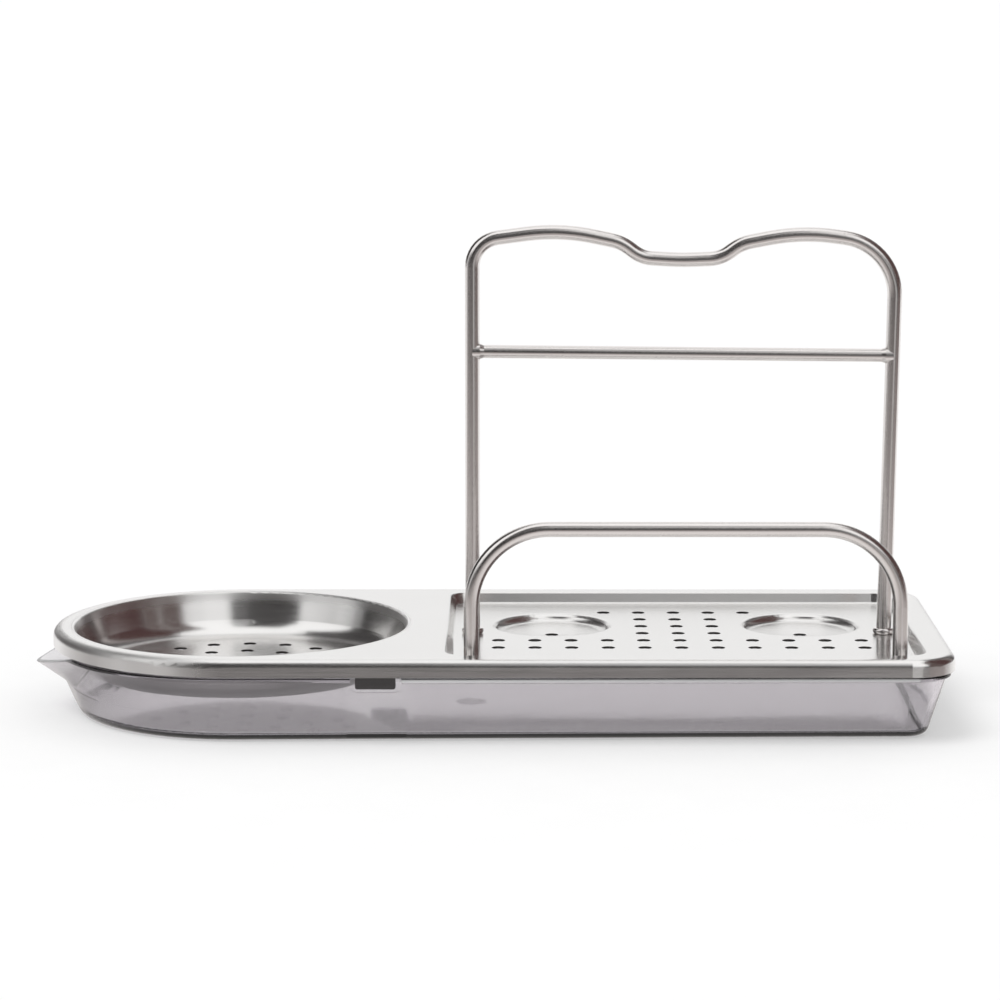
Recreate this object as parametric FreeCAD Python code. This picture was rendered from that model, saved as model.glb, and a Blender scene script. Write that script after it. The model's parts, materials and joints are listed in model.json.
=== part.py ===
import FreeCAD
import Part
import math
import os

# Sink caddy: a pressed steel tray with a round bowl, a drained recess and two wire rails,
# standing on a clear tub that catches the water and pours it out of a spout.
# Millimetres, +Z up, +X towards the square end. The origin is on the counter,
# under the middle of the steel tray.

Vector = FreeCAD.Vector
UP = Vector(0, 0, 1)
OVERRUN = 1.0
FIT_GAP = 0.05

# Steel tray
SHEET = 0.8
TRAY_LENGTH = 307.0
TRAY_WIDTH = 130.0
TRAY_CORNER = 16.0
RIM_HEIGHT = 29.3
SKIRT_HEIGHT = 5.9
RIM_ROUND = 3.0
LIP_ROUND = 1.0

# Round bowl
BOWL_MARGIN = 7.0
BOWL_DEPTH = 15.3
BOWL_WALL_SLANT = 18.0
BOWL_FLOOR_ROUND = 8.0
BOWL_HOLE_MARGIN = 20.5
BOWL_RING_COUNT = 3
BOWL_RING_STEP_COUNT = 6

# Drained recess
BRIDGE_WIDTH = 14.0
RECESS_END_MARGIN = 10.0
RECESS_SIDE_MARGIN = 8.5
RECESS_DEPTH = 3.9
RECESS_CORNER = 7.0
RECESS_WALL_LEAN = 1.8
RECESS_FLOOR_ROUND = 1.2
HOLE_DIAMETER = 4.6
HOLE_END_MARGIN = 17.5
HOLE_SIDE_MARGIN = 19.0
HOLE_COLUMN_COUNT = 11
HOLE_ROW_COUNT = 7
# Holes in each row from the front one backwards; the first row has none
HOLES_PER_ROW_COUNTS = (0, 11, 11, 3, 3, 3, 5)

# Two round dishes pressed into the recess floor, as shares of its length
DISH_RADIUS_SHARE = 0.1265
DISH_SPACING_SHARE = 0.547
DISH_DEPTH = 3.8
DISH_WALL_SLANT = 32.0
DISH_FLOOR_SLOPE = 3.5
DISH_SETBACK = 15.6
# Roundings of a dish, as shares of its depth
DISH_LIP_SHARE = 0.55
DISH_FLOOR_ROUND_SHARE = 0.8

# Locating tabs on the skirt
TAB_OFFSET = 49.0
TAB_WIDTH = 13.4
TAB_DROP = 3.9
TAB_CORNER = 0.8

# Wire rails
WIRE_DIAMETER = 5.1
RAIL_END_GAP = 8.5
RAIL_SIDE_GAP = 7.0
TALL_RAIL_Y = 0.0
TALL_RAIL_HEIGHT = 135.9
TALL_RAIL_TILT = 0.55
# The wave along the top, as shares of the rail's span: offset, rise and bend radius
CREST_SHARES = (0.2902, 0.0301, 0.49)
BROW_SHARES = (0.1434, 0.0007, 0.098)
TOE_SHARES = (0.0944, -0.0357, 0.084)
DIP_SHARES = (0.0, -0.0406, 0.63)
LEFT_BEND_SHARE = 0.07
RIGHT_BEND_SHARE = 0.14
RIGHT_SPREAD_SHARE = 0.014
FRONT_RAIL_HEIGHT = 45.0
FRONT_RAIL_BEND = 26.0
CROSS_BAR_DIAMETER = 4.6
CROSS_BAR_HEIGHT = 98.0
WELD_RADIUS = 2.8
WELD_LENGTH = 1.4

# Feet of the rails
COLLAR_WALL = 1.25
COLLAR_HEIGHT = 2.2
COLLAR_ROUND = 0.9
SCREW_DIAMETER = 3.0
SCREW_CLEARANCE = 0.2
SCREW_REACH = 7.0
SCREW_BORE_SPARE = 1.0
SCREW_HEAD_DIAMETER = 5.6
SCREW_HEAD_HEIGHT = 2.0
SCREW_HEAD_ROUND = 0.7
WASHER_DIAMETER = 7.0
WASHER_THICKNESS = 0.6

# Clear tub
TUB_WALL = 2.0
TUB_FLOOR = 2.0
TUB_LEDGE_GAP = 1.0
TUB_LEDGE_INSET = 2.0
TUB_LEDGE_TAPER = 2.5
TUB_BASE_INSET = 8.5
TUB_BASE_TAPER = 5.5
TUB_BASE_ROUND = 3.5
TUB_FLOOR_ROUND = 2.0
TUB_LIP_ROUND = 0.5
TUB_MOUTH_STEP = 0.6
BEAD_INSET = 0.9
BEAD_HEIGHT = 1.5
BEAD_ROUND = 0.5
POCKET_WIDTH = 17.0
POCKET_DROP = 5.0
POCKET_DEPTH = 0.8
POCKET_CORNER = 2.5
CHANNEL_WIDTH = 20.0
CHANNEL_DEPTH = 0.4
GATE_X = -8.5
GATE_DIAMETER = 10.5
GATE_DEPTH = 0.5

# Pouring spout on the round end of the tub
SPOUT_FLARE_HEIGHT = 9.5
SPOUT_BASE_REACH = 1.2
SPOUT_FLARE_REACH = 3.2
SPOUT_TOP_REACH = 21.0
SPOUT_BASE_NOSE = 20.0
SPOUT_FLARE_NOSE = 12.0
SPOUT_TOP_NOSE = 6.0
SPOUT_DROP = 5.0
SPOUT_LIP_SLOPE = 21.0

# Places that follow from the sizes above
END_RADIUS = TRAY_WIDTH / 2
TRAY_LEFT = -TRAY_LENGTH / 2
TRAY_RIGHT = TRAY_LENGTH / 2
BOWL_X = TRAY_LEFT + END_RADIUS
BOWL_RADIUS = END_RADIUS - BOWL_MARGIN
BOWL_RING_PITCH = (BOWL_RADIUS - BOWL_HOLE_MARGIN) / BOWL_RING_COUNT
RECESS_LEFT = BOWL_X + BOWL_RADIUS + BRIDGE_WIDTH
RECESS_RIGHT = TRAY_RIGHT - RECESS_END_MARGIN
RECESS_LENGTH = RECESS_RIGHT - RECESS_LEFT
RECESS_WIDTH = TRAY_WIDTH - 2 * RECESS_SIDE_MARGIN
RECESS_X = (RECESS_LEFT + RECESS_RIGHT) / 2
HOLE_COLUMN_PITCH = (RECESS_LENGTH - 2 * HOLE_END_MARGIN) / (HOLE_COLUMN_COUNT - 1)
HOLE_ROW_PITCH = (RECESS_WIDTH - 2 * HOLE_SIDE_MARGIN) / (HOLE_ROW_COUNT - 1)
DISH_RADIUS = RECESS_LENGTH * DISH_RADIUS_SHARE
DISH_SPACING = RECESS_LENGTH * DISH_SPACING_SHARE
DISH_LIP_ROUND = DISH_DEPTH * DISH_LIP_SHARE
DISH_FLOOR_ROUND = DISH_DEPTH * DISH_FLOOR_ROUND_SHARE
TAB_X = BOWL_X + TAB_OFFSET
FLOOR_HEIGHT = RIM_HEIGHT - RECESS_DEPTH
SKIRT_BOTTOM = RIM_HEIGHT - SKIRT_HEIGHT
RIM_UNDERSIDE = RIM_HEIGHT - SHEET
FLOOR_UNDERSIDE = FLOOR_HEIGHT - SHEET
RAIL_SPAN = RECESS_LENGTH - 2 * RAIL_END_GAP
FRONT_RAIL_Y = RAIL_SIDE_GAP - RECESS_WIDTH / 2
WIRE_RADIUS = WIRE_DIAMETER / 2
COLLAR_DIAMETER = WIRE_DIAMETER + 2 * COLLAR_WALL
TUB_LEDGE_HEIGHT = SKIRT_BOTTOM - TUB_LEDGE_GAP
TUB_LIP_INSET = RIM_ROUND
TUB_MOUTH_INSET = TUB_LEDGE_INSET + TUB_WALL + TUB_MOUTH_STEP


def line(start, end):
    return Part.LineSegment(start, end).toShape()


def arc(start, through, end):
    return Part.Arc(start, through, end).toShape()


def on_circle(centre, radius, angle):
    return centre + Vector(radius * math.cos(angle), radius * math.sin(angle), 0)


def mirrored(point):
    return Vector(point.x, -point.y, point.z)


def prism(wire, height):
    return Part.Face(wire).extrude(Vector(0, 0, height))


def box(x_low, x_high, y_low, y_high, z_low, z_high):
    corner = Vector(x_low, y_low, z_low)
    return Part.makeBox(x_high - x_low, y_high - y_low, z_high - z_low, corner)


def turned(profile):
    """Solid of revolution about +Z of a closed list of edges in the XZ plane."""
    return Part.Face(Part.Wire(profile)).revolve(Vector(0, 0, 0), UP, 360)


def cylinder(x, y, z_low, z_high, diameter):
    return Part.makeCylinder(diameter / 2, z_high - z_low, Vector(x, y, z_low))


def edges_at(shape, height):
    """Edges that lie level at one height."""
    tolerance = FIT_GAP / 10
    found = []
    for edge in shape.Edges:
        bounds = edge.BoundBox
        if abs(bounds.ZMin - height) < tolerance and abs(bounds.ZMax - height) < tolerance:
            found.append(edge)
    return found


def tray_outline(inset, z, taper=0.0, reach=0.0, nose=0.0):
    """Plan outline: a round end about the bowl, a square end with rounded corners.

    The long sides come in by the taper at the square end. A reach draws the round end
    out into a beak, whose nose radius the inset makes smaller too.
    """
    radius = END_RADIUS - inset
    corner = TRAY_CORNER - inset
    middle = Vector(BOWL_X, 0, z)
    corner_middle = Vector(TRAY_RIGHT - TRAY_CORNER, -(END_RADIUS - taper - TRAY_CORNER), z)
    run = corner_middle - middle
    lean = math.atan2(run.y, run.x) - math.acos((radius - corner) / run.Length)
    side_start = on_circle(middle, radius, lean)
    side_end = on_circle(corner_middle, corner, lean)
    corner_end = corner_middle + Vector(corner, 0, 0)
    corner_mid = on_circle(corner_middle, corner, lean / 2)

    if reach > 0:
        end_edges = beak_edges(middle, radius, reach, nose - inset, side_start)
    else:
        tip = middle - Vector(radius, 0, 0)
        end_edges = [arc(mirrored(side_start), tip, side_start)]
    edges = end_edges + [
        line(side_start, side_end),
        arc(side_end, corner_mid, corner_end),
        line(corner_end, mirrored(corner_end)),
        arc(mirrored(corner_end), mirrored(corner_mid), mirrored(side_end)),
        line(mirrored(side_end), mirrored(side_start)),
    ]
    return Part.Wire(edges)


def beak_edges(middle, radius, reach, nose, side_start):
    """Round end drawn out along -X: two arcs, two straight flanks and a rounded nose."""
    tip_distance = radius * (END_RADIUS + reach) / END_RADIUS
    spread = math.acos(radius / tip_distance)
    nose_middle = middle - Vector(tip_distance - nose * tip_distance / radius, 0, 0)
    flank_start = on_circle(middle, radius, math.pi + spread)
    flank_end = on_circle(nose_middle, nose, math.pi + spread)
    side_angle = math.atan2(side_start.y - middle.y, side_start.x - middle.x)
    shoulder = on_circle(middle, radius, (side_angle - math.pi + spread) / 2)
    nose_tip = nose_middle - Vector(nose, 0, 0)
    return [
        arc(mirrored(side_start), mirrored(shoulder), mirrored(flank_start)),
        line(mirrored(flank_start), mirrored(flank_end)),
        arc(mirrored(flank_end), nose_tip, flank_end),
        line(flank_end, flank_start),
        arc(flank_start, shoulder, side_start),
    ]


def pan_block(radius, top, depth, wall_slant, floor_slope, floor_round, offset):
    """Turned cavity about +Z: a slanting wall, a rounded floor edge and a floor that falls to
    the middle. The offset grows it on its wall and floor."""
    slant = math.radians(wall_slant)
    slope = math.radians(floor_slope)
    floor_rise = floor_round / math.cos(slope)
    wall_run = (depth - floor_rise) * math.tan(slant) + floor_round / math.cos(slant)
    round_r = (radius - wall_run) / (1 - math.tan(slope) * math.tan(slant))
    round_z = top - depth + round_r * math.tan(slope) + floor_rise
    bend = floor_round + offset
    floor_turn = slope - math.pi / 2
    half_turn = (floor_turn - slant) / 2
    axis_top = Vector(0, 0, top)
    axis_floor = Vector(0, 0, top - depth - offset / math.cos(slope))
    bend_points = []
    for angle in (floor_turn, half_turn, -slant):
        bend_points.append(Vector(round_r + bend * math.cos(angle), 0, round_z + bend * math.sin(angle)))
    floor_edge, bend_middle, wall_foot = bend_points
    wall_top = Vector(radius + offset / math.cos(slant), 0, top)
    return turned([
        line(axis_top, axis_floor),
        line(axis_floor, floor_edge),
        arc(floor_edge, bend_middle, wall_foot),
        line(wall_foot, wall_top),
        line(wall_top, axis_top),
    ])


def bowl_block(offset):
    """Round bowl with a flat floor."""
    solid = pan_block(BOWL_RADIUS, RIM_HEIGHT, BOWL_DEPTH, BOWL_WALL_SLANT, 0.0, BOWL_FLOOR_ROUND, offset)
    solid.translate(Vector(BOWL_X, 0, 0))
    return solid


def rounded_rectangle(x, half_length, half_width, corner, z):
    diagonal = corner * (1 - math.sqrt(2) / 2)
    points = []
    for sx, sy in ((1, -1), (1, 1), (-1, 1), (-1, -1)):
        along = Vector(x + sx * (half_length - corner), sy * half_width, z)
        across = Vector(x + sx * half_length, sy * (half_width - corner), z)
        middle = Vector(x + sx * (half_length - diagonal), sy * (half_width - diagonal), z)
        ends = (along, across) if sx * sy < 0 else (across, along)
        points.append((ends[0], middle, ends[1]))
    edges = []
    for index, (start, middle, end) in enumerate(points):
        edges.append(arc(start, middle, end))
        edges.append(line(end, points[(index + 1) % len(points)][0]))
    return Part.Wire(edges)


def recess_block(offset):
    """Recess cavity: leaning walls and a rounded floor edge, grown by the offset."""
    half_length = RECESS_LENGTH / 2 + offset
    half_width = RECESS_WIDTH / 2 + offset
    corner = RECESS_CORNER + offset
    low = FLOOR_HEIGHT - offset
    top = rounded_rectangle(RECESS_X, half_length, half_width, corner, RIM_HEIGHT)
    bottom = rounded_rectangle(
        RECESS_X, half_length - RECESS_WALL_LEAN, half_width - RECESS_WALL_LEAN,
        corner - RECESS_WALL_LEAN, low)
    solid = Part.makeLoft([bottom, top], True, True)
    return solid.makeFillet(RECESS_FLOOR_ROUND + offset, edges_at(solid, low))


def dish_block(x, offset):
    """Shallow dish below the recess floor, which drains to its middle."""
    solid = pan_block(DISH_RADIUS, FLOOR_HEIGHT, DISH_DEPTH, DISH_WALL_SLANT, DISH_FLOOR_SLOPE,
                      DISH_FLOOR_ROUND, offset)
    solid.translate(Vector(x, DISH_SETBACK, 0))
    return solid


def dish_places():
    return [RECESS_X - DISH_SPACING / 2, RECESS_X + DISH_SPACING / 2]


def drain_holes():
    """One drill for every drain hole, long enough for floor, dishes and bowl."""
    low = RIM_HEIGHT - BOWL_DEPTH - SHEET - OVERRUN
    places = [(x, DISH_SETBACK) for x in dish_places()]
    for row, count in enumerate(HOLES_PER_ROW_COUNTS):
        y = HOLE_ROW_PITCH * (row - (HOLE_ROW_COUNT - 1) / 2)
        for index in range(count):
            places.append((RECESS_X + HOLE_COLUMN_PITCH * (index - (count - 1) / 2), y))
    places.append((BOWL_X, 0.0))
    for ring in range(1, BOWL_RING_COUNT + 1):
        count = BOWL_RING_STEP_COUNT * ring
        ring_radius = BOWL_RING_PITCH * ring
        for index in range(count):
            angle = math.pi / 2 + 2 * math.pi * index / count
            places.append((BOWL_X + ring_radius * math.cos(angle), ring_radius * math.sin(angle)))
    return [cylinder(x, y, low, RIM_HEIGHT, HOLE_DIAMETER) for x, y in places]


def leg_places():
    """Feet of both rails: tall rail first, left leg first."""
    places = []
    for y in (TALL_RAIL_Y, FRONT_RAIL_Y):
        for side in (-1, 1):
            places.append((RECESS_X + side * RAIL_SPAN / 2, y))
    return places


def screw_holes():
    clear = SCREW_DIAMETER + 2 * SCREW_CLEARANCE
    low = FLOOR_UNDERSIDE - OVERRUN
    return [cylinder(x, y, low, FLOOR_HEIGHT + OVERRUN, clear) for x, y in leg_places()]


def locating_tabs():
    """A tab under the skirt at the front and one at the back."""
    tabs = []
    for side in (-1, 1):
        faces = sorted((side * END_RADIUS, side * (END_RADIUS - SHEET)))
        tab = box(TAB_X - TAB_WIDTH / 2, TAB_X + TAB_WIDTH / 2, faces[0], faces[1],
                  SKIRT_BOTTOM - TAB_DROP, SKIRT_BOTTOM + SHEET)
        lower_corners = []
        for edge in tab.Edges:
            bounds = edge.BoundBox
            across = bounds.YLength > SHEET / 2
            if across and bounds.ZMax < SKIRT_BOTTOM:
                lower_corners.append(edge)
        tabs.append(tab.makeFillet(TAB_CORNER, lower_corners))
    return tabs


def top_tray():
    """Pressed sheet: rim and skirt, bowl, recess with dishes, drain and screw holes."""
    outside = prism(tray_outline(0.0, SKIRT_BOTTOM), SKIRT_HEIGHT)
    outside = outside.makeFillet(RIM_ROUND, edges_at(outside, RIM_HEIGHT))
    inside = prism(tray_outline(SHEET, SKIRT_BOTTOM - OVERRUN), SKIRT_HEIGHT + OVERRUN - SHEET)
    inside = inside.makeFillet(RIM_ROUND - SHEET, edges_at(inside, RIM_UNDERSIDE))
    sheet = outside.cut(inside)
    sheet = sheet.fuse([bowl_block(SHEET), recess_block(SHEET)])
    sheet = sheet.cut(Part.Compound([bowl_block(0.0), recess_block(0.0)]))

    lips = []
    for edge in edges_at(sheet, RIM_HEIGHT):
        outer_edge = max(abs(edge.BoundBox.YMax), abs(edge.BoundBox.YMin)) > BOWL_RADIUS + LIP_ROUND
        outer_edge = outer_edge or edge.BoundBox.XMax > RECESS_RIGHT + LIP_ROUND
        if not outer_edge:
            lips.append(edge)
    sheet = sheet.makeFillet(LIP_ROUND, lips)

    for x in dish_places():
        sheet = sheet.fuse(dish_block(x, SHEET)).cut(dish_block(x, 0.0))
    rims = []
    for edge in edges_at(sheet, FLOOR_HEIGHT):
        if abs(edge.BoundBox.XLength - 2 * DISH_RADIUS) < LIP_ROUND:
            rims.append(edge)
    sheet = sheet.makeFillet(DISH_LIP_ROUND, rims)

    sheet = sheet.cut(Part.Compound(drain_holes() + screw_holes()))
    return sheet.fuse(locating_tabs()).removeSplitter()


def bent_path(corners, bends):
    """Straight runs between corners, each inner corner rounded with its own bend radius."""
    edges = []
    start = corners[0]
    for index, bend in enumerate(bends, 1):
        corner = corners[index]
        back = (corners[index - 1] - corner).normalize()
        ahead = (corners[index + 1] - corner).normalize()
        half = back.getAngle(ahead) / 2
        tangent = bend / math.tan(half)
        bisector = (back + ahead).normalize()
        middle = corner + bisector * (bend / math.sin(half) - bend)
        bend_start = corner + back * tangent
        bend_end = corner + ahead * tangent
        edges.append(line(start, bend_start))
        edges.append(arc(bend_start, middle, bend_end))
        start = bend_end
    edges.append(line(start, corners[-1]))
    return Part.Wire(edges)


def wire_along(path):
    start = path.OrderedVertexes[0].Point
    ring = Part.Wire(Part.Circle(start, UP, WIRE_RADIUS).toShape())
    return path.makePipeShell([ring], True, False)


def with_screw_bores(rail, y):
    """Blind bore up each leg for its screw."""
    reach = SCREW_REACH + SCREW_BORE_SPARE
    bore = SCREW_DIAMETER + 2 * FIT_GAP
    drills = []
    for side in (-1, 1):
        x = RECESS_X + side * RAIL_SPAN / 2
        drills.append(cylinder(x, y, FLOOR_HEIGHT - OVERRUN, FLOOR_HEIGHT + reach, bore))
    return rail.cut(Part.Compound(drills))


def rail_point(y, offset, height):
    return Vector(RECESS_X + offset, y, FLOOR_HEIGHT + height)


def tilted_point(offset, height):
    """Point of the tall rail, whose top and bar drop a little towards the right."""
    drop = offset * math.tan(math.radians(TALL_RAIL_TILT))
    return rail_point(TALL_RAIL_Y, offset, height - drop)


def tall_rail():
    """Back rail: two humps with a dip between them that hangs a brush."""
    half = RAIL_SPAN / 2
    wave = (CREST_SHARES, BROW_SHARES, TOE_SHARES, DIP_SHARES)
    offsets = [half] + [RAIL_SPAN * offset for offset, rise, bend in wave]
    heights = [TALL_RAIL_HEIGHT] + [TALL_RAIL_HEIGHT + RAIL_SPAN * rise for offset, rise, bend in wave]
    bends = [RAIL_SPAN * bend for offset, rise, bend in wave]
    climb = list(zip(offsets, heights))
    left = [tilted_point(-offset, height) for offset, height in climb]
    right = [tilted_point(offset, height) for offset, height in climb[-2::-1]]
    right[-1] = right[-1] + Vector(RAIL_SPAN * RIGHT_SPREAD_SHARE, 0, 0)
    feet = [rail_point(TALL_RAIL_Y, side * half, 0.0) for side in (-1, 1)]
    corners = feet[:1] + left + right + feet[1:]
    shoulder_bends = [RAIL_SPAN * LEFT_BEND_SHARE, RAIL_SPAN * RIGHT_BEND_SHARE]
    all_bends = shoulder_bends[:1] + bends + bends[-2::-1] + shoulder_bends[1:]
    return with_screw_bores(wire_along(bent_path(corners, all_bends)), TALL_RAIL_Y)


def front_rail():
    """Low rail that keeps a sponge standing against the tall one."""
    half = RAIL_SPAN / 2
    profile = [(-half, 0.0), (-half, FRONT_RAIL_HEIGHT), (half, FRONT_RAIL_HEIGHT), (half, 0.0)]
    corners = [rail_point(FRONT_RAIL_Y, offset, height) for offset, height in profile]
    path = bent_path(corners, [FRONT_RAIL_BEND, FRONT_RAIL_BEND])
    return with_screw_bores(wire_along(path), FRONT_RAIL_Y)


def cross_bar(rail):
    """Straight bar welded between the legs of the tall rail, coped to fit them."""
    spread = RAIL_SPAN * RIGHT_SPREAD_SHARE * CROSS_BAR_HEIGHT / TALL_RAIL_HEIGHT
    left = tilted_point(-RAIL_SPAN / 2, CROSS_BAR_HEIGHT)
    right = tilted_point(RAIL_SPAN / 2 + spread, CROSS_BAR_HEIGHT)
    along = (right - left).normalize()
    bar_radius = CROSS_BAR_DIAMETER / 2
    bar = Part.makeCylinder(bar_radius, (right - left).Length, left, along)
    welds = []
    for foot, inward in ((left, along), (right, along * -1)):
        welds.append(Part.makeCylinder(WELD_RADIUS, WIRE_RADIUS, foot, inward))
        root = foot + inward * WIRE_RADIUS
        welds.append(Part.makeCone(WELD_RADIUS, bar_radius, WELD_LENGTH, root, inward))
    return bar.fuse(welds).cut(rail).removeSplitter()


def collar(x, y):
    """Ring round the foot of a leg, with a rounded outer edge."""
    top = FLOOR_HEIGHT + COLLAR_HEIGHT
    ring = cylinder(x, y, FLOOR_HEIGHT, top, COLLAR_DIAMETER)
    ring = ring.makeFillet(COLLAR_ROUND, edges_at(ring, FLOOR_HEIGHT) + edges_at(ring, top))
    bore = WIRE_DIAMETER + 2 * FIT_GAP
    return ring.cut(cylinder(x, y, FLOOR_HEIGHT - OVERRUN, top + OVERRUN, bore))


def washer(x, y):
    low = FLOOR_UNDERSIDE - WASHER_THICKNESS
    clear = SCREW_DIAMETER + 2 * SCREW_CLEARANCE
    disc = cylinder(x, y, low, FLOOR_UNDERSIDE, WASHER_DIAMETER)
    return disc.cut(cylinder(x, y, low - OVERRUN, FLOOR_UNDERSIDE + OVERRUN, clear))


def screw(x, y):
    """Round-headed screw from under the tray into a leg."""
    head_top = FLOOR_UNDERSIDE - WASHER_THICKNESS
    head_low = head_top - SCREW_HEAD_HEIGHT
    head = cylinder(x, y, head_low, head_top, SCREW_HEAD_DIAMETER)
    head = head.makeFillet(SCREW_HEAD_ROUND, edges_at(head, head_low))
    return head.fuse(cylinder(x, y, head_top, FLOOR_HEIGHT + SCREW_REACH, SCREW_DIAMETER))


def tub_block(inset, low):
    """Flaring body of the tub, drawn out into the spout, shrunk by the inset."""
    flare_share = SPOUT_FLARE_HEIGHT / TUB_LEDGE_HEIGHT
    low_share = low / TUB_LEDGE_HEIGHT
    base = (TUB_BASE_INSET, TUB_BASE_TAPER, SPOUT_BASE_REACH, SPOUT_BASE_NOSE)
    ledge = (TUB_LEDGE_INSET, TUB_LEDGE_TAPER, SPOUT_TOP_REACH, SPOUT_TOP_NOSE)

    def section(share, z, reach, nose):
        level_inset = base[0] + share * (ledge[0] - base[0])
        level_taper = base[1] + share * (ledge[1] - base[1])
        return tray_outline(level_inset + inset, z, level_taper, reach, nose + level_inset)

    low_reach = base[2] + (low / SPOUT_FLARE_HEIGHT) * (SPOUT_FLARE_REACH - base[2])
    low_nose = base[3] + (low / SPOUT_FLARE_HEIGHT) * (SPOUT_FLARE_NOSE - base[3])
    sections = [
        section(low_share, low, low_reach, low_nose),
        section(flare_share, SPOUT_FLARE_HEIGHT, SPOUT_FLARE_REACH, SPOUT_FLARE_NOSE),
        section(1.0, TUB_LEDGE_HEIGHT, ledge[2], ledge[3]),
    ]
    return Part.makeLoft(sections, True, True)


def tub_lip():
    """Upright lip inside the skirt that carries the steel rim, and the bead below the skirt."""
    low = TUB_LEDGE_HEIGHT - BEAD_HEIGHT
    lip = prism(tray_outline(TUB_LIP_INSET, low, TUB_LEDGE_TAPER), RIM_UNDERSIDE - low)
    lip = lip.makeFillet(TUB_LIP_ROUND, edges_at(lip, RIM_UNDERSIDE))
    bead = prism(tray_outline(BEAD_INSET, low, TUB_LEDGE_TAPER), BEAD_HEIGHT)
    bead_edges = edges_at(bead, low) + edges_at(bead, TUB_LEDGE_HEIGHT)
    bead = bead.makeFillet(BEAD_ROUND, bead_edges)
    notch_low = low - OVERRUN
    notch_half = POCKET_WIDTH / 2
    for side in (-1, 1):
        faces = sorted((side * END_RADIUS, side * (END_RADIUS - TUB_LIP_INSET)))
        bead = bead.cut(box(TAB_X - notch_half, TAB_X + notch_half, faces[0], faces[1],
                            notch_low, TUB_LEDGE_HEIGHT + OVERRUN))
    return lip.fuse(bead)


def spout_cutter():
    """Everything above the sloping mouth of the spout."""
    slope = math.tan(math.radians(SPOUT_LIP_SLOPE))
    top = RIM_UNDERSIDE + OVERRUN
    at_end = SKIRT_BOTTOM - SPOUT_DROP
    far_x = TRAY_LEFT - SPOUT_TOP_REACH - OVERRUN
    far_z = at_end + slope * (far_x - TRAY_LEFT)
    near_x = TRAY_LEFT + (top - at_end) / slope
    corners = [(far_x, far_z), (near_x, top), (far_x, top)]
    points = [Vector(x, -END_RADIUS, z) for x, z in corners]
    wedge = Part.Face(Part.makePolygon(points + points[:1]))
    return wedge.extrude(Vector(0, TRAY_WIDTH, 0))


def wall_relief(width, low, high, depth, corner=0.0):
    """Shallow flat let into both long walls at the locating tabs, its lower corners rounded."""
    slab = box(TAB_X - width / 2, TAB_X + width / 2, -TRAY_WIDTH, TRAY_WIDTH, low, high)
    if corner > 0:
        lower = [edge for edge in edges_at(slab, low) if edge.BoundBox.YLength > TRAY_WIDTH]
        slab = slab.makeFillet(corner, lower)
    return slab.cut(tub_block(depth, 0.0))


def drip_tray():
    """Clear tub with its floor, flaring wall, bead, lip and pouring spout."""
    body = tub_block(0.0, 0.0)
    body = body.makeFillet(TUB_BASE_ROUND, edges_at(body, 0.0))
    body = body.fuse(tub_lip())
    hollow = tub_block(TUB_WALL, TUB_FLOOR)
    hollow = hollow.makeFillet(TUB_FLOOR_ROUND, edges_at(hollow, TUB_FLOOR))
    mouth_low = TUB_LEDGE_HEIGHT - BEAD_ROUND
    mouth = prism(tray_outline(TUB_MOUTH_INSET, mouth_low, TUB_LEDGE_TAPER), RIM_HEIGHT - mouth_low)
    body = body.cut(hollow).cut(mouth).cut(spout_cutter())
    channel = wall_relief(CHANNEL_WIDTH, 0.0, TUB_LEDGE_HEIGHT - BEAD_HEIGHT, CHANNEL_DEPTH)
    pocket = wall_relief(POCKET_WIDTH, TUB_LEDGE_HEIGHT - POCKET_DROP, TUB_LEDGE_HEIGHT,
                         POCKET_DEPTH, POCKET_CORNER)
    gate = cylinder(GATE_X, 0.0, 0.0, GATE_DEPTH, GATE_DIAMETER)
    return body.cut(channel).cut(pocket).cut(gate)


def all_nodes():
    rail = tall_rail()
    feet = leg_places()
    nodes = {
        "drip_tray": drip_tray(),
        "top_tray": top_tray(),
        "tall_rail": rail,
        "cross_bar": cross_bar(rail),
        "front_rail": front_rail(),
        "rail_screws": Part.Compound([screw(x, y) for x, y in feet]),
        "rail_washers": Part.Compound([washer(x, y) for x, y in feet]),
    }
    names = ("tall_rail_collar_left", "tall_rail_collar_right",
             "front_rail_collar_left", "front_rail_collar_right")
    for name, (x, y) in zip(names, feet):
        nodes[name] = collar(x, y)
    return nodes


os.makedirs("parts", exist_ok=True)
for node_name, node_shape in all_nodes().items():
    print(node_name, "solids", len(node_shape.Solids), "valid", node_shape.isValid(),
          "volume", round(node_shape.Volume, 1))
    node_shape.exportStep("parts/" + node_name + ".step")
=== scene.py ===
import json
import math

import bpy
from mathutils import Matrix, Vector
from mathutils.bvhtree import BVHTree


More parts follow.
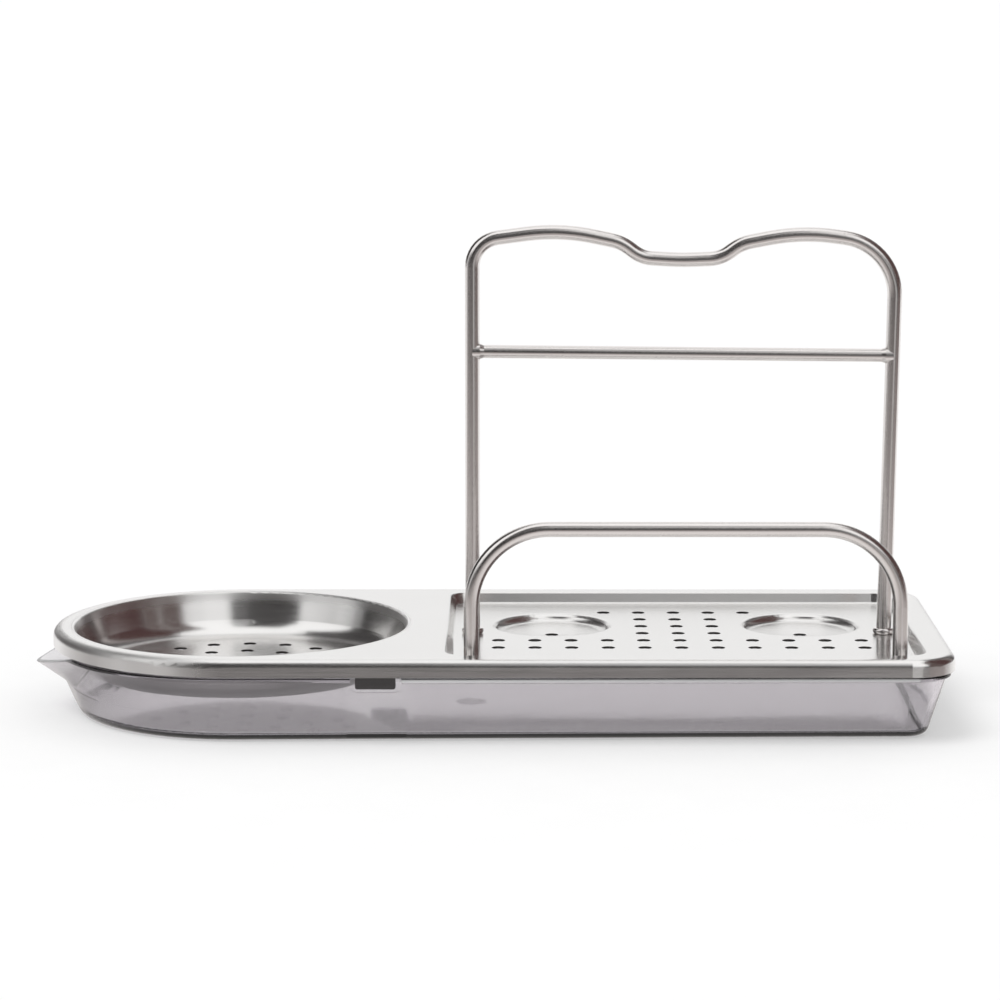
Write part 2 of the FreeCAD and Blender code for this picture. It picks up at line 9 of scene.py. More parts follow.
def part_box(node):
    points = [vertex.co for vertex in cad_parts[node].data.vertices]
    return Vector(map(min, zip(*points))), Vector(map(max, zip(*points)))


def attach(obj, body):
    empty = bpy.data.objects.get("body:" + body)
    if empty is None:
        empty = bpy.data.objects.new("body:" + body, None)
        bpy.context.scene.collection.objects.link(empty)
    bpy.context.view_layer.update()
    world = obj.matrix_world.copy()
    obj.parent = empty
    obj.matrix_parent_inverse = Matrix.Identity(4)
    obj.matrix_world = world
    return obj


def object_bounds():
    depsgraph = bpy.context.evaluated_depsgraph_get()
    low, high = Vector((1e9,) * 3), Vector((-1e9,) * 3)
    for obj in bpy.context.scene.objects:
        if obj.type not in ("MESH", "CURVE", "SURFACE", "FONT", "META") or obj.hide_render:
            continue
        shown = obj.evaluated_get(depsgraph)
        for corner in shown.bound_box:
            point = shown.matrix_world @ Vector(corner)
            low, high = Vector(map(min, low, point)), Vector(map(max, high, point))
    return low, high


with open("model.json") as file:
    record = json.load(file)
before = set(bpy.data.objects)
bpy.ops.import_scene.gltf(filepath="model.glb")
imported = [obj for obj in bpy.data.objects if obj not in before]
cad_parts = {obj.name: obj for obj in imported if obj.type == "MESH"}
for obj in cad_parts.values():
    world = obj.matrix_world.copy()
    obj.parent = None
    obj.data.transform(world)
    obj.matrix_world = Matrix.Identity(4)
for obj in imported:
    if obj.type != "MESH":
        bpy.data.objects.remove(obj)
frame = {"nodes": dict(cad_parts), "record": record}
cad_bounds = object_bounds()

# Metres and degrees in the frame of the object: +X towards the square end, -Y towards the user.
# Directions and plain colours
ALONG = (1.0, 0.0, 0.0)
ACROSS = (0.0, 1.0, 0.0)
UP = (0.0, 0.0, 1.0)
LEVEL_PARTS = (1.0, 1.0, 0.0)
ZERO_VECTOR = (0.0, 0.0, 0.0)
WHITE = (1.0, 1.0, 1.0, 1.0)

# Camera at the photograph's viewing angle
CAMERA_PLACE = (0.0039, -1.1609, 0.2581)
CAMERA_LEVEL = 90.0
CAMERA_PITCH = 9.09
CAMERA_TURN = 0.119
CAMERA_LENS = 122.3
CAMERA_SENSOR = 36.0

# Floor and lamp
FLOOR_SIZE = 60.0
FLOOR_DROP = 0.0003
FLOOR_GLOW = 0.40
FLOOR_GREYS = (0.588, 0.60)
FLOOR_GRAIN_SIZE = 0.025
FLOOR_GRAIN_DETAIL = 3.0
FLOOR_GRAIN_RANGE = (0.2, 0.8)
SKY_LIGHT = (0.72, 0.72, 0.72, 1.0)
KEY_STRENGTH = 1.1
KEY_SPREAD = 30.0
KEY_LEAN = (18.0, -22.0)

# The floor as the metal mirrors it: a table whose painted light falls off to painted shade, and which ends
# in front of a white backdrop; and as it shows through the plastic, with painted shade under the object.
# Distances are from the box round the object.
TABLE_NEAR_PAINTED_LIGHT = (0.88, 0.85, 0.84, 1.0)
TABLE_FAR_PAINTED_SHADE = (0.46, 0.425, 0.415, 1.0)
TABLE_FADE = (0.08, 0.24)
TABLE_EDGE = (0.60, 0.85)
UNDER_TUB_PAINTED_SHADE = (0.37, 0.37, 0.38, 1.0)
UNDER_TUB_SHADE_FADE = (-0.006, 0.012)
BACKDROP_START = (0.02, 0.12)

# What the metal mirrors of the studio, by azimuth from the user's side, positive to the right,
# and by elevation. Later panels stand in front of earlier ones.
ROOM_COLOUR = (0.058, 0.055, 0.055, 1.0)
WALL_SPAN = (-80.0, 63.0)
SOFTBOX_SPAN = (18.0, 80.0)
LOW_SPAN = (-60.0, 16.0)
HIGH_SPAN = (34.0, 63.0)
CEILING_SPAN = (65.0, 120.0)
ALL_ROUND = (-220.0, 220.0)
SOFTBOX_COLOUR = (1.15, 1.15, 1.15, 1.0)
BACKDROP_COLOUR = (1.05, 1.05, 1.05, 1.0)
STUDIO_PANELS = (
    ((50.0, 84.0), WALL_SPAN, (0.12, 0.088, 0.084, 1.0)),
    ((84.0, 124.0), WALL_SPAN, (0.085, 0.045, 0.044, 1.0)),
    ((126.0, 133.0), WALL_SPAN, (0.50, 0.46, 0.45, 1.0)),
    ((-150.0, -141.0), WALL_SPAN, (0.26, 0.25, 0.25, 1.0)),
    ((-1.0, 14.0), HIGH_SPAN, (0.55, 0.55, 0.55, 1.0)),
    ((10.0, 32.0), LOW_SPAN, (0.42, 0.42, 0.42, 1.0)),
    ((-95.0, -70.0), LOW_SPAN, (0.48, 0.48, 0.48, 1.0)),
    ((13.0, 50.0), SOFTBOX_SPAN, SOFTBOX_COLOUR),
    ((-90.0, -41.0), SOFTBOX_SPAN, SOFTBOX_COLOUR),
    ((153.0, 220.0), WALL_SPAN, BACKDROP_COLOUR),
    ((-220.0, -153.0), WALL_SPAN, BACKDROP_COLOUR),
    (ALL_ROUND, CEILING_SPAN, SOFTBOX_COLOUR),
)
PANEL_SOFT = 3.0

# Steel: light and dark tone of each finish, roughness range, and how far the brushing draws a highlight out
TRAY_TONES = ((0.84, 0.83, 0.82, 1.0), (0.77, 0.76, 0.75, 1.0))
TRAY_ROUGHNESS = (0.17, 0.24)
TRAY_ANISOTROPY = 0.86
WIRE_TONES = ((0.84, 0.81, 0.795, 1.0), (0.72, 0.69, 0.675, 1.0))
WIRE_ROUGHNESS = (0.16, 0.21)
WIRE_ANISOTROPY = 0.92
# The underside's dark tones are painted shade under the sheet; its rougher finish is its own.
UNDERSIDE_SHADED_TONES = ((0.44, 0.43, 0.43, 1.0), (0.36, 0.35, 0.35, 1.0))
UNDERSIDE_ROUGHNESS = (0.38, 0.5)
UNDERSIDE_ANISOTROPY = 0.4
# The hole walls' near-black tones are painted shade in the holes; their dullness is the cut edge's own.
CUT_SHADED_TONES = ((0.13, 0.125, 0.12, 1.0), (0.07, 0.065, 0.06, 1.0))
CUT_ROUGHNESS = (0.4, 0.6)
FASTENER_TONES = ((0.62, 0.62, 0.61, 1.0), (0.48, 0.48, 0.47, 1.0))
FASTENER_ROUGHNESS = (0.25, 0.4)
NO_ANISOTROPY = 0.0
BRUSH_PITCH = 0.00045
BRUSH_LENGTH = 0.03
BRUSH_DEPTH = 0.0000015
BRUSH_DETAIL = 4.0
BRUSH_ROUGHNESS = 0.65
BRUSH_RANGE = (0.25, 0.75)
GRAIN_SIZE = 0.0006
CLOUD_SIZE = 0.03
CLOUD_DETAIL = 3.0
CLOUD_SHARE = 0.3
BOWL_MARGIN = 0.0063
BOWL_EDGE_SOFT = 0.0006

# Edges of the tray that are duller, by their distance from its outline or from the bowl's edge
DULL_ROUGHNESS = 0.36
ROUND_END_INSET = (0.0028, 0.0036)
ROUND_END_FADE = 0.022
BOWL_LIP_SPAN = (-0.0016, 0.0004)

# Faces of the tray with another finish. A slope is the upward part of the face's normal.
UNDERSIDE_SLOPE = -0.1
UPRIGHT_SLOPE = 0.2
HOLE_REACH_IN_BOWL = 0.045
HOLE_MARGIN = 0.016
SKIRT_DRAFT = 7.0
# Painted shade on the tabs under the skirt.
TAB_PAINTED_SHADE = (0.22, 0.215, 0.22, 1.0)
TAB_TOP = (0.0231, 0.0235)
TAB_INSET = (0.0028, 0.0024)

# Smoky plastic
PLASTIC_COLOUR = WHITE
PLASTIC_TINT = (0.62, 0.56, 0.61, 1.0)
PLASTIC_DENSITY = 190.0
PLASTIC_IOR = 1.49
PLASTIC_SHADOW = (0.78, 0.76, 0.78, 1.0)
PLASTIC_WAVE_SIZE = 0.02
PLASTIC_WAVE_DETAIL = 2.0
PLASTIC_WAVE_DEPTH = 0.00003
PLASTIC_ROUGHNESS = (0.05, 0.10)
PLASTIC_HAZE_SIZE = 0.0025
PLASTIC_HAZE_DETAIL = 4.0
PLASTIC_HAZE_RANGE = (0.3, 0.8)
SPOUT_HAZE = 0.18
SPOUT_HAZE_X = (-0.146, -0.118)
# Painted shade along the rounded edge of the plastic's base.
BASE_EDGE_PAINTED_SHADE = (0.012, 0.011, 0.014, 1.0)
BASE_EDGE_TOP = (0.0021, 0.0030)
BASE_EDGE_SLOPE = (0.95, 0.985)
GATE_COLOUR = (0.09, 0.085, 0.09, 1.0)
GATE_PLACE = (-0.0085, 0.0, 0.0)
GATE_REACH = (0.0050, 0.0053)
GATE_TOP = (0.0006, 0.0010)
# Painted highlight: a white diffuse share on top of the bead stands in for the bright line along it.
BEAD_HIGHLIGHT_SHARE = 0.9
BEAD_LEVELS = (0.0213, 0.0226)
BEAD_SOFT = 0.0002
BEAD_INSET = (0.0036, 0.0040)
BEAD_START_X = (-0.034, -0.030)

# Seam ring on the wire of the tall rail
SEAM_X = 0.1189
SEAM_STEP = 0.001
SEAM_THICKNESS = 0.00022
SEAM_PROUD = 0.00003
SEAM_SIDES = 48
SEAM_SECTION_SIDES = 10


class Graph:
    """Short way to add nodes. A value is a number, a tuple or another node's output."""

    def __init__(self, tree):
        self.tree = tree

    def node(self, kind, **settings):
        made = self.tree.nodes.new(kind)
        for name, value in settings.items():
            setattr(made, name, value)
        return made

    def put(self, socket, value):
        if isinstance(value, bpy.types.NodeSocket):
            self.tree.links.new(value, socket)
        else:
            socket.default_value = value

    def put_all(self, sockets, values):
        for socket, value in zip(sockets, values):
            self.put(socket, value)

    def put_named(self, made, values):
        for name, value in values.items():
            self.put(made.inputs[name], value)

    def math(self, operation, *values):
        made = self.node("ShaderNodeMath", operation=operation)
        self.put_all(made.inputs, values)
        return made.outputs[0]

    def vector(self, operation, *values):
        made = self.node("ShaderNodeVectorMath", operation=operation)
        self.put_all(made.inputs, values)
        return made.outputs["Value" if operation == "LENGTH" else "Vector"]

    def split(self, vector):
        made = self.node("ShaderNodeSeparateXYZ")
        self.put(made.inputs[0], vector)
        return made.outputs

    def join(self, x, y, z):
        made = self.node("ShaderNodeCombineXYZ")
        self.put_all(made.inputs, (x, y, z))
        return made.outputs[0]

    def spread(self, value, low, high, first=0.0, last=1.0):
        """Smooth step: the value from low to high gives first to last."""
        made = self.node("ShaderNodeMapRange", interpolation_type="SMOOTHSTEP")
        limits = {"From Min": low, "From Max": high, "To Min": first, "To Max": last}
        self.put_named(made, {"Value": value, **limits})
        return made.outputs["Result"]

    def band(self, value, limits, soft):
        """1 between the limits and 0 outside, with soft edges."""
        rise = self.spread(value, limits[0] - soft, limits[0] + soft)
        fall = self.spread(value, limits[1] - soft, limits[1] + soft, 1.0, 0.0)
        return self.math("MULTIPLY", rise, fall)

    def mix(self, share, first, second, kind="RGBA"):
        made = self.node("ShaderNodeMix", data_type=kind)
        inputs = {"FLOAT": (0, 2, 3), "VECTOR": (0, 4, 5), "RGBA": (0, 6, 7)}[kind]
        self.put_all([made.inputs[index] for index in inputs], (share, first, second))
        return made.outputs[("FLOAT", "VECTOR", "RGBA").index(kind)]

    def mix_shader(self, share, first, second):
        made = self.node("ShaderNodeMixShader")
        self.put_all(made.inputs, (share, first, second))
        return made.outputs[0]

    def noise(self, vector, scale=1.0, detail=2.0, roughness=0.5):
        made = self.node("ShaderNodeTexNoise")
        self.put_named(made, {"Vector": vector, "Scale": scale, "Detail": detail, "Roughness": roughness})
        return made.outputs["Fac"]

    def bump(self, height, depth, normal=None):
        made = self.node("ShaderNodeBump")
        self.put_named(made, {"Height": height, "Distance": depth})
        if normal is not None:
            self.put(made.inputs["Normal"], normal)
        return made.outputs["Normal"]


def new_material(name):
    material = bpy.data.materials.new(name)
    material.use_nodes = True
    material.node_tree.nodes.clear()
    graph = Graph(material.node_tree)
    return material, graph, graph.node("ShaderNodeOutputMaterial")


def object_place(graph):
    return graph.node("ShaderNodeTexCoord").outputs["Object"]


def plain_normal(graph, place):
    return graph.node("ShaderNodeNewGeometry").outputs["Normal"]


def unchanged(graph, place, value):
    return value


def brushed_metal(name, tones, roughness, anisotropy, brush_place, brush_along,
                  face_normal=plain_normal, shade_over=unchanged, roughen=unchanged):
    """Metal with fine streaks. brush_place and brush_along give the streaks and their direction."""
    material, graph, output = new_material(name)
    place = object_place(graph)
    normal = face_normal(graph, place)
    streaks = graph.noise(brush_place(graph, place), detail=BRUSH_DETAIL, roughness=BRUSH_ROUGHNESS)
    clouds = graph.noise(place, 1.0 / CLOUD_SIZE, CLOUD_DETAIL)
    shade = graph.mix(CLOUD_SHARE, streaks, clouds, "FLOAT")
    colour = graph.mix(shade, tones[1], tones[0])
    brushed = graph.spread(shade, *BRUSH_RANGE, *roughness)
    across = graph.vector("CROSS_PRODUCT", normal, brush_along(graph, place))
    shader = graph.node("ShaderNodeBsdfPrincipled")
    graph.put_named(shader, {
        "Metallic": 1.0,
        "Base Color": shade_over(graph, place, colour),
        "Roughness": roughen(graph, place, brushed),
        "Anisotropic": anisotropy,
        "Tangent": graph.vector("NORMALIZE", across),
        "Normal": graph.bump(streaks, BRUSH_DEPTH, normal),
    })
    graph.put(output.inputs["Surface"], shader.outputs[0])
    return material


def end_radius():
    """Radius of the tray's round end, about the axis of the bowl."""
    low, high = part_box("top_tray")
    return (high.y - low.y) / 2


def bowl_axis():
    return Vector((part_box("top_tray")[0].x + end_radius(), 0.0, 0.0))


def from_bowl(graph, place):
    """Level vector from the axis of the bowl."""
    outward = graph.vector("SUBTRACT", place, tuple(bowl_axis()))
    return graph.vector("MULTIPLY", outward, LEVEL_PARTS)


def past_bowl_edge(graph, place):
    """Distance out from the edge of the bowl, negative inside it."""
    reach = graph.vector("LENGTH", from_bowl(graph, place))
    return graph.math("SUBTRACT", reach, end_radius() - BOWL_MARGIN)


def in_bowl(graph, place):
    """1 inside the bowl and 0 on the rest of the tray."""
    return graph.spread(past_bowl_edge(graph, place), -BOWL_EDGE_SOFT, BOWL_EDGE_SOFT, 1.0, 0.0)


def past_bowl_axis(graph, place):
    """Distance beyond the axis of the bowl, towards the round end."""
    return graph.math("SUBTRACT", bowl_axis().x, graph.split(place)[0])


def outline_inset(graph, place):
    """Distance in from the tray's long sides and its round end."""
    beyond = graph.math("MAXIMUM", past_bowl_axis(graph, place), 0.0)
    outward = graph.join(beyond, graph.split(place)[1], 0.0)
    return graph.math("SUBTRACT", end_radius(), graph.vector("LENGTH", outward))


def tray_brush_place(graph, place):
    """Streaks along the tray, and round the bowl inside it."""
    straight = graph.vector("MULTIPLY", place, (1 / BRUSH_LENGTH, 1 / BRUSH_PITCH, 1 / BRUSH_PITCH))
    outward = from_bowl(graph, place)
    heading = graph.split(graph.vector("NORMALIZE", outward))
    climb = graph.math("SUBTRACT", graph.vector("LENGTH", outward), graph.split(place)[2])
    turn_scale = end_radius() / BRUSH_LENGTH
    spun = graph.join(
        graph.math("MULTIPLY", heading[0], turn_scale),
        graph.math("MULTIPLY", heading[1], turn_scale),
        graph.math("DIVIDE", climb, BRUSH_PITCH))
    return graph.mix(in_bowl(graph, place), straight, spun, "VECTOR")


def tray_brush_along(graph, place):
    around = graph.vector("CROSS_PRODUCT", UP, from_bowl(graph, place))
    return graph.mix(in_bowl(graph, place), ALONG, graph.vector("NORMALIZE", around), "VECTOR")


def wire_brush_place(graph, place):
    return graph.vector("MULTIPLY", place, (1 / GRAIN_SIZE, 1 / GRAIN_SIZE, 1 / GRAIN_SIZE))


def wire_brush_along(graph, place):
    """Both rails stand square to Y, so this turns the highlight along the wire, round its bends too."""
    return ACROSS


def skirt_normal(graph, place):
    """The skirt of the solid is upright. Only its shading is tilted up, as if the skirt leaned out."""
    x, y, z = graph.split(plain_normal(graph, place))
    rise = graph.math("MAXIMUM", z, math.sin(math.radians(SKIRT_DRAFT)))
    return graph.vector("NORMALIZE", graph.join(x, y, rise))


def tab_shade(graph, place, colour):
    """Darker tabs under the skirt: painted shade where the skirt overhangs them. The tone is a guess."""
    y, z = graph.split(place)[1:]
    inner, outer = (end_radius() - inset for inset in TAB_INSET)
    at_side = graph.spread(graph.math("ABSOLUTE", y), inner, outer)
    share = graph.math("MULTIPLY", at_side, graph.spread(z, *TAB_TOP, 1.0, 0.0))
    return graph.mix(share, colour, TAB_PAINTED_SHADE)


def dull_edges(graph, place, roughness):
    """Duller on the rim's round end and the bowl's lip, where facets would notch the mirror image."""
    at_edge = graph.spread(outline_inset(graph, place), *ROUND_END_INSET, 1.0, 0.0)
    at_end = graph.spread(past_bowl_axis(graph, place), 0.0, ROUND_END_FADE)
    at_lip = graph.band(past_bowl_edge(graph, place), BOWL_LIP_SPAN, BOWL_EDGE_SOFT)
    share = graph.math("MAXIMUM", at_lip, graph.math("MULTIPLY", at_edge, at_end))
    return graph.mix(share, roughness, DULL_ROUGHNESS, "FLOAT")


def tray_steel():
    return brushed_metal(
        "tray_steel_look", TRAY_TONES, TRAY_ROUGHNESS, TRAY_ANISOTROPY, tray_brush_place, tray_brush_along,
        skirt_normal, tab_shade, dull_edges)


def wire_steel():
    return brushed_metal(
        "wire_steel_look", WIRE_TONES, WIRE_ROUGHNESS, WIRE_ANISOTROPY, wire_brush_place, wire_brush_along)


def fastener_steel():
    return brushed_metal(
        "fastener_steel_look", FASTENER_TONES, FASTENER_ROUGHNESS, NO_ANISOTROPY,
        wire_brush_place, wire_brush_along)


def shaded_underside_steel():
    return brushed_metal(
        "underside_steel_look", UNDERSIDE_SHADED_TONES, UNDERSIDE_ROUGHNESS, UNDERSIDE_ANISOTROPY,
        tray_brush_place, tray_brush_along)


def shaded_cut_steel():
    return brushed_metal(
        "cut_steel_look", CUT_SHADED_TONES, CUT_ROUGHNESS, NO_ANISOTROPY, wire_brush_place, wire_brush_along)


def plastic_colour_with_painted_shade(graph, place):
    """Clear, with painted shade along the rounded edge of the base, and darker at the moulding's gate mark.
    """
    z = graph.split(place)[2]
    slope = graph.math("ABSOLUTE", graph.split(plain_normal(graph, place))[2])
    rounded = graph.spread(slope, *BASE_EDGE_SLOPE, 1.0, 0.0)
    edge = graph.math("MULTIPLY", rounded, graph.spread(z, *BASE_EDGE_TOP, 1.0, 0.0))
    from_gate = graph.vector("MULTIPLY", graph.vector("SUBTRACT", place, GATE_PLACE), LEVEL_PARTS)
    near = graph.spread(graph.vector("LENGTH", from_gate), *GATE_REACH, 1.0, 0.0)
    gate = graph.math("MULTIPLY", near, graph.spread(z, *GATE_TOP, 1.0, 0.0))
    return graph.mix(edge, graph.mix(gate, PLASTIC_COLOUR, GATE_COLOUR), BASE_EDGE_PAINTED_SHADE)


def plastic_roughness(graph, place):
    """Slightly uneven gloss. The spout is hazier, which hides refraction lines of its inner faces."""
    haze = graph.noise(place, 1.0 / PLASTIC_HAZE_SIZE, PLASTIC_HAZE_DETAIL)
    even = graph.spread(haze, *PLASTIC_HAZE_RANGE, *PLASTIC_ROUGHNESS)
    at_spout = graph.spread(graph.split(place)[0], *SPOUT_HAZE_X, 1.0, 0.0)
    return graph.mix(at_spout, even, SPOUT_HAZE, "FLOAT")


def bead_share(graph, place):
    """Share of the painted highlight: white on top of the bead under the skirt, from the tabs to the square
    end.
    """
    x, _, z = graph.split(place)
    outer = graph.spread(outline_inset(graph, place), *BEAD_INSET, 1.0, 0.0)
    on_top = graph.math("MULTIPLY", outer, graph.band(z, BEAD_LEVELS, BEAD_SOFT))
    return graph.math("MULTIPLY", on_top, graph.spread(x, *BEAD_START_X, 0.0, BEAD_HIGHLIGHT_SHARE))


def plastic_with_painted_bead_highlight(graph, place):
    """Clear plastic with a painted highlight along the bead."""
    waves = graph.noise(place, 1.0 / PLASTIC_WAVE_SIZE, PLASTIC_WAVE_DETAIL)
    shader = graph.node("ShaderNodeBsdfPrincipled")
    graph.put_named(shader, {
        "Base Color": plastic_colour_with_painted_shade(graph, place),
        "Transmission Weight": 1.0,
        "IOR": PLASTIC_IOR,
        "Roughness": plastic_roughness(graph, place),
        "Normal": graph.bump(waves, PLASTIC_WAVE_DEPTH),
    })
    bead_highlight = graph.node("ShaderNodeBsdfDiffuse")
    graph.put(bead_highlight.inputs["Color"], PLASTIC_COLOUR)
    return graph.mix_shader(bead_share(graph, place), shader.outputs[0], bead_highlight.outputs[0])


def smoky_plastic():
    """The plastic takes its smoky tone from its thickness, and lets most of the lamp's light through."""
    material, graph, output = new_material("smoky_plastic_look")
    clear = graph.node("ShaderNodeBsdfTransparent")
    graph.put(clear.inputs["Color"], PLASTIC_SHADOW)
    path = graph.node("ShaderNodeLightPath")
    plastic = plastic_with_painted_bead_highlight(graph, object_place(graph))
    surface = graph.mix_shader(path.outputs["Is Shadow Ray"], plastic, clear.outputs[0])
    smoke = graph.node("ShaderNodeVolumeAbsorption")
    graph.put_named(smoke, {"Color": PLASTIC_TINT, "Density": PLASTIC_DENSITY})
    graph.put_named(output, {"Surface": surface, "Volume": smoke.outputs[0]})
    return material


def dress_nodes():
    """Every solid keeps its shape and gets its finish."""
    makers = {
        "smoky_plastic": smoky_plastic,
        "tray_steel": tray_steel,
        "wire_steel": wire_steel,
        "fastener_steel": fastener_steel,
    }
    finishes = {slot: maker() for slot, maker in makers.items()}
    for entry in frame["record"]["subparts"]:
        node = frame["nodes"][entry["node"]]
        node.data.materials.clear()
        node.data.materials.append(finishes[entry["material_slot"]])
    return finishes


def add_finish(mesh, finish):
    """Index of a further finish on the mesh."""
    mesh.materials.append(finish)
    return len(mesh.materials) - 1


def dress_tray_faces():
    """The sheet's underside is rougher and gets painted shade, and the walls of its holes are dull cut
    edges with painted shade.
    """
    mesh = frame["nodes"]["top_tray"].data
    underside = add_finish(mesh, shaded_underside_steel())
    cut = add_finish(mesh, shaded_cut_steel())
    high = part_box("top_tray")[1]
    axis = bowl_axis()
    bridge_x = axis.x + end_radius()
    for face in mesh.polygons:
        middle = face.center
        in_holes_of_bowl = (middle - axis).to_2d().length < HOLE_REACH_IN_BOWL
        inside_x = bridge_x < middle.x < high.x - HOLE_MARGIN
        in_holes_of_recess = inside_x and abs(middle.y) < high.y - HOLE_MARGIN
        if face.normal.z < UNDERSIDE_SLOPE:
            face.material_index = underside
        elif abs(face.normal.z) < UPRIGHT_SLOPE and (in_holes_of_bowl or in_holes_of_recess):
            face.material_index = cut


def wire_middle(tree, x, y, low, high):
    """Middle of a level wire at x, from its upper and lower surface."""
    top = tree.ray_cast(Vector((x, y, high)), -Vector(UP))[0]
    bottom = tree.ray_cast(Vector((x, y, low)), Vector(UP))[0]
    return (top + bottom) / 2


def ring_mesh(name, middle, along, radius):
    """Closed ring of round section about the axis of a wire that stands square to Y."""
    side = Vector(ACROSS)
    upward = along.cross(side)
    half = SEAM_THICKNESS / 2
    points = []
    faces = []
    for turn in range(SEAM_SIDES):
        angle = 2 * math.pi * turn / SEAM_SIDES
        outward = side * math.cos(angle) + upward * math.sin(angle)
        here = turn * SEAM_SECTION_SIDES
        beyond = (turn + 1) % SEAM_SIDES * SEAM_SECTION_SIDES
        for step in range(SEAM_SECTION_SIDES):
            section = 2 * math.pi * step / SEAM_SECTION_SIDES
            reach = radius + half * math.cos(section)
            points.append(middle + outward * reach + along * (half * math.sin(section)))
            after = (step + 1) % SEAM_SECTION_SIDES
            faces.append((here + step, beyond + step, beyond + after, here + after))
    mesh = bpy.data.meshes.new(name)
    mesh.from_pydata(points, [], faces)
    mesh.shade_smooth()
    return mesh


def make_seam(finish):
    """Thin ring on the tall rail, read from the photograph as the weld between the ends of its wire."""
    rail = frame["nodes"]["tall_rail"]
    tree = BVHTree.FromObject(rail, bpy.context.evaluated_depsgraph_get())
    low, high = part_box("tall_rail")
    y = (low.y + high.y) / 2
    clear_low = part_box("cross_bar")[1].z + SEAM_STEP
    clear_high = high.z + SEAM_STEP
    middle = wire_middle(tree, SEAM_X, y, clear_low, clear_high)
    ahead = wire_middle(tree, SEAM_X + SEAM_STEP, y, clear_low, clear_high)
    along = (ahead - middle).normalized()
    radius = (high.y - low.y) / 2 + SEAM_PROUD - SEAM_THICKNESS / 2
    mesh = ring_mesh("rail_seam", middle, along, radius)
    mesh.materials.append(finish)
    seam = bpy.data.objects.new("rail_seam", mesh)
    bpy.context.collection.objects.link(seam)
    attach(seam, "steel_tray")


def mirrored_room(graph):
    """The studio's panels by direction, over the colour of the room."""
    x, y, z = graph.split(graph.node("ShaderNodeTexCoord").outputs["Generated"])
    azimuth = graph.math("DEGREES", graph.math("ARCTAN2", x, graph.math("MULTIPLY", y, -1.0)))
    elevation = graph.math("DEGREES", graph.math("ARCSINE", z))
    room = ROOM_COLOUR
    for azimuth_span, elevation_span, colour in STUDIO_PANELS:
        across = graph.band(azimuth, azimuth_span, PANEL_SOFT)
        upward = graph.band(elevation, elevation_span, PANEL_SOFT)
        room = graph.mix(graph.math("MULTIPLY", across, upward), room, colour)
    return room


def studio_world():
    """White to the camera and through the plastic. The metal mirrors the studio's panels."""
    world = bpy.data.worlds.new("studio")
    bpy.context.scene.world = world
    world.use_nodes = True
    world.node_tree.nodes.clear()
    graph = Graph(world.node_tree)
    output = graph.node("ShaderNodeOutputWorld")
    path = graph.node("ShaderNodeLightPath")
    clear_view = graph.math("MAXIMUM", path.outputs["Is Camera Ray"], path.outputs["Is Transmission Ray"])
    light = graph.mix(path.outputs["Is Glossy Ray"], SKY_LIGHT, mirrored_room(graph))
    background = graph.node("ShaderNodeBackground")
    graph.put(background.inputs["Color"], graph.mix(clear_view, light, WHITE))
    graph.put(output.inputs["Surface"], background.outputs[0])


def beyond_object(graph, place):
    """Distance on the floor from the box round the object."""
    low, high = cad_bounds
    half_size = ((high[0] - low[0]) / 2, (high[1] - low[1]) / 2, 0.0)
    outside = graph.vector("SUBTRACT", graph.vector("ABSOLUTE", place), half_size)
    outside = graph.vector("MAXIMUM", outside, ZERO_VECTOR)
    return graph.vector("LENGTH", graph.vector("MULTIPLY", outside, LEVEL_PARTS))


def pale_floor(graph, place, path):
    """The floor reads as white and keeps the shadow. Through the plastic it has painted shade, grey under
    the object.
    """
    grain = graph.noise(place, 1.0 / FLOOR_GRAIN_SIZE, FLOOR_GRAIN_DETAIL)
    tone = graph.spread(grain, *FLOOR_GRAIN_RANGE, *FLOOR_GREYS)
    matt = graph.node("ShaderNodeBsdfDiffuse")
    graph.put(matt.inputs["Color"], graph.join(tone, tone, tone))
    glow = graph.node("ShaderNodeEmission")
    graph.put(glow.inputs["Strength"], graph.math("MULTIPLY", path.outputs["Is Camera Ray"], FLOOR_GLOW))
    lit = graph.node("ShaderNodeAddShader")
    graph.put_all(lit.inputs, (matt.outputs[0], glow.outputs[0]))
    through = graph.node("ShaderNodeEmission")
    # Painted shade: the floor seen through the plastic is grey under the object.
    clear = graph.spread(beyond_object(graph, place), *UNDER_TUB_SHADE_FADE)
    graph.put(through.inputs["Color"], graph.mix(clear, UNDER_TUB_PAINTED_SHADE, WHITE))
    return graph.mix_shader(path.outputs["Is Transmission Ray"], lit.outputs[0], through.outputs[0])


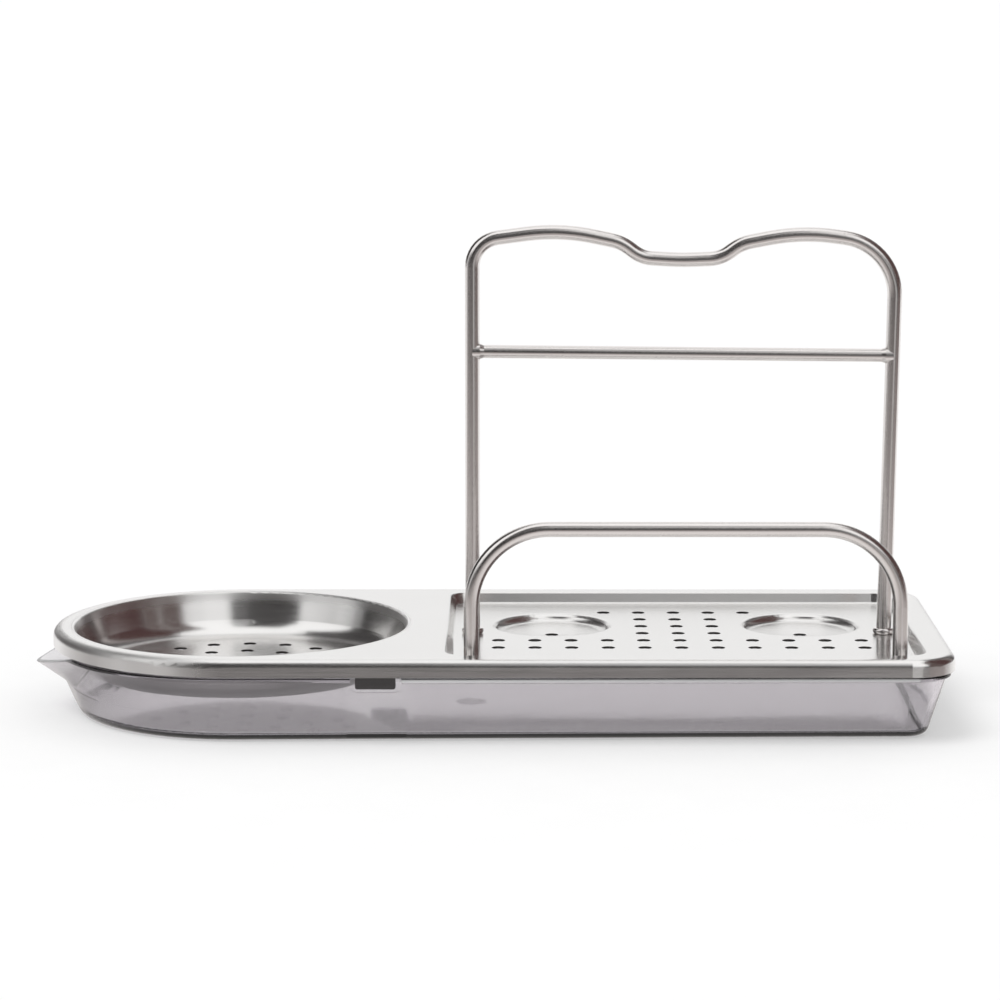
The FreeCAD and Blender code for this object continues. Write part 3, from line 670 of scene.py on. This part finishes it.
def mirrored_floor(graph, place):
    """The metal mirrors a table whose painted light falls off to painted shade and ends in front, and a
    white backdrop behind.
    """
    reach = beyond_object(graph, place)
    behind = graph.spread(graph.split(place)[1], *BACKDROP_START)
    in_front = graph.math("SUBTRACT", 1.0, behind)
    fade = graph.math("MULTIPLY", graph.spread(reach, *TABLE_FADE), in_front)
    past_edge = graph.math("MULTIPLY", graph.spread(reach, *TABLE_EDGE), in_front)
    # Painted light on the mirrored table near the object, falling off to painted shade further out.
    light = graph.mix(fade, TABLE_NEAR_PAINTED_LIGHT, TABLE_FAR_PAINTED_SHADE)
    table = graph.node("ShaderNodeEmission")
    graph.put(table.inputs["Color"], graph.mix(behind, light, BACKDROP_COLOUR))
    gone = graph.node("ShaderNodeBsdfTransparent")
    return graph.mix_shader(past_edge, table.outputs[0], gone.outputs[0])


def floor_material():
    """One floor for the camera and the plastic, and another for what only the metal mirrors."""
    material, graph, output = new_material("floor_look")
    place = object_place(graph)
    path = graph.node("ShaderNodeLightPath")
    shown = graph.math("MAXIMUM", path.outputs["Is Camera Ray"], path.outputs["Is Transmission Ray"])
    unseen = graph.math("SUBTRACT", 1.0, shown)
    only_mirrored = graph.math("MULTIPLY", path.outputs["Is Glossy Ray"], unseen)
    surface = graph.mix_shader(only_mirrored, pale_floor(graph, place, path), mirrored_floor(graph, place))
    graph.put(output.inputs["Surface"], surface)
    return material


def make_floor():
    half = FLOOR_SIZE / 2
    mesh = bpy.data.meshes.new("floor")
    corners = [(x, y, -FLOOR_DROP) for x, y in ((-half, -half), (half, -half), (half, half), (-half, half))]
    mesh.from_pydata(corners, [], [(0, 1, 2, 3)])
    mesh.materials.append(floor_material())
    floor = bpy.data.objects.new("floor", mesh)
    bpy.context.collection.objects.link(floor)


def make_lamp():
    """Broad soft lamp from above, which the metal doesn't mirror."""
    lamp = bpy.data.lights.new("key", "SUN")
    lamp.energy = KEY_STRENGTH
    lamp.angle = math.radians(KEY_SPREAD)
    key = bpy.data.objects.new("key", lamp)
    key.rotation_euler = (math.radians(KEY_LEAN[0]), math.radians(KEY_LEAN[1]), 0.0)
    key.visible_glossy = False
    bpy.context.collection.objects.link(key)


def make_camera():
    camera = bpy.data.cameras.new("camera")
    camera.sensor_width = CAMERA_SENSOR
    camera.lens = CAMERA_LENS
    holder = bpy.data.objects.new("camera", camera)
    holder.location = CAMERA_PLACE
    holder.rotation_euler = (math.radians(CAMERA_LEVEL - CAMERA_PITCH), 0.0, math.radians(CAMERA_TURN))
    bpy.context.collection.objects.link(holder)
    bpy.context.scene.camera = holder


made_finishes = dress_nodes()
dress_tray_faces()
make_seam(made_finishes["wire_steel"])
studio_world()
make_floor()
make_lamp()
make_camera()
bpy.context.scene.view_settings.view_transform = "Standard"
